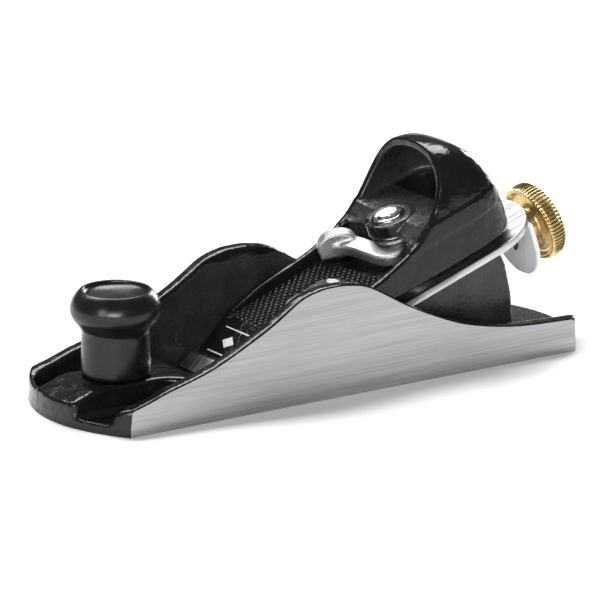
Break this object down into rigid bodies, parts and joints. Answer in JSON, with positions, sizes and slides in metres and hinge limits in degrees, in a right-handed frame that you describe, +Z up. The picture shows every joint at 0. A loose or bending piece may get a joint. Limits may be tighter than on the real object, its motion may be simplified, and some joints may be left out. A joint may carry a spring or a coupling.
{
  "type": "hand plane",
  "caption": "Low-angle block plane: cast body with ground cheeks, round front knob, clamped cutter, hooded lever cap with cam lever, and a brass depth wheel.",
  "frame": {"origin": "centre of the sole's underside, midway between the straight sides' ends and between the cheeks", "axes": "+X from the toe to the heel, +Y towards the far cheek, the side where the cam lever's lobe rests, +Z up from the sole"},
  "size_m": [0.1788, 0.055, 0.0658],
  "materials": {
    "enamel_black": "gloss black enamel on cast iron; sole and outer cheeks ground bright, with fine scratches along the length",
    "cap_enamel": "gloss black enamel with a slight orange peel; diamond-pattern grip on the tongue",
    "knob_black": "moulded gloss black",
    "ground_steel": "ground grey tool steel",
    "bright_steel": "bright nickel plate",
    "rough_nickel": "rough nickel-plated casting",
    "brass": "polished brass with a straight knurl"
  },
  "bodies": {
    "body": {"body_casting": "enamel_black", "front_knob": "knob_black", "knob_stud": "bright_steel", "lateral_pivot": "bright_steel"},
    "cap_screw": {"lever_cap_screw": "bright_steel"},
    "lateral": {"lateral_lever": "bright_steel"},
    "wheel": {"adjusting_wheel": "brass", "adjusting_screw": "bright_steel", "screw_clip": "bright_steel"},
    "feed": {"adjusting_slide": "rough_nickel"},
    "iron": {"cutter": "ground_steel"},
    "cap": {"lever_cap": "cap_enamel", "cam_rivet": "bright_steel", "cam_washer": "bright_steel"},
    "cam": {"cam_lever": "rough_nickel"}
  },
  "joints": [
    {"name": "lateral_swing", "type": "hinge", "parent": "body", "child": "lateral", "pos_m": [0.03408, 0, 0.02305], "axis": [-0.3256, 0, 0.9455], "range_deg": [-3, 3]},
    {"name": "wheel_spin", "type": "hinge", "parent": "lateral", "child": "wheel", "pos_m": [0.08344, 0, 0.03328], "axis": [0.9455, 0, 0.3256], "range_deg": [-721, 2161]},
    {"name": "depth_feed", "type": "slide", "parent": "lateral", "child": "feed", "axis": [0.9455, 0, 0.3256], "range_m": [-0.006, 0.002]},
    {"name": "cutter_skew", "type": "hinge", "parent": "feed", "child": "iron", "pos_m": [0.05351, 0, 0.03143], "axis": [-0.3256, 0, 0.9455], "range_deg": [-1.65, 1.65]},
    {"name": "cap_slide", "type": "slide", "parent": "body", "child": "cap", "axis": [0.9455, 0, 0.3256], "range_m": [0, 0.0065]},
    {"name": "cam_swing", "type": "hinge", "parent": "cap", "child": "cam", "pos_m": [0.03234, 0, 0.03578], "axis": [-0.3256, 0, 0.9455], "range_deg": [0, 75]},
    {"name": "cap_screw_turn", "type": "hinge", "parent": "body", "child": "cap_screw", "pos_m": [0.00798, 0, 0.02052], "axis": [-0.3256, 0, 0.9455], "range_deg": [-360, 360]}
  ],
  "couplings": [
    {"joint": "wheel_spin", "follows": "depth_feed", "rad_per_m": -6283.2},
    {"joint": "cutter_skew", "follows": "lateral_swing", "ratio": -0.548}
  ]
}
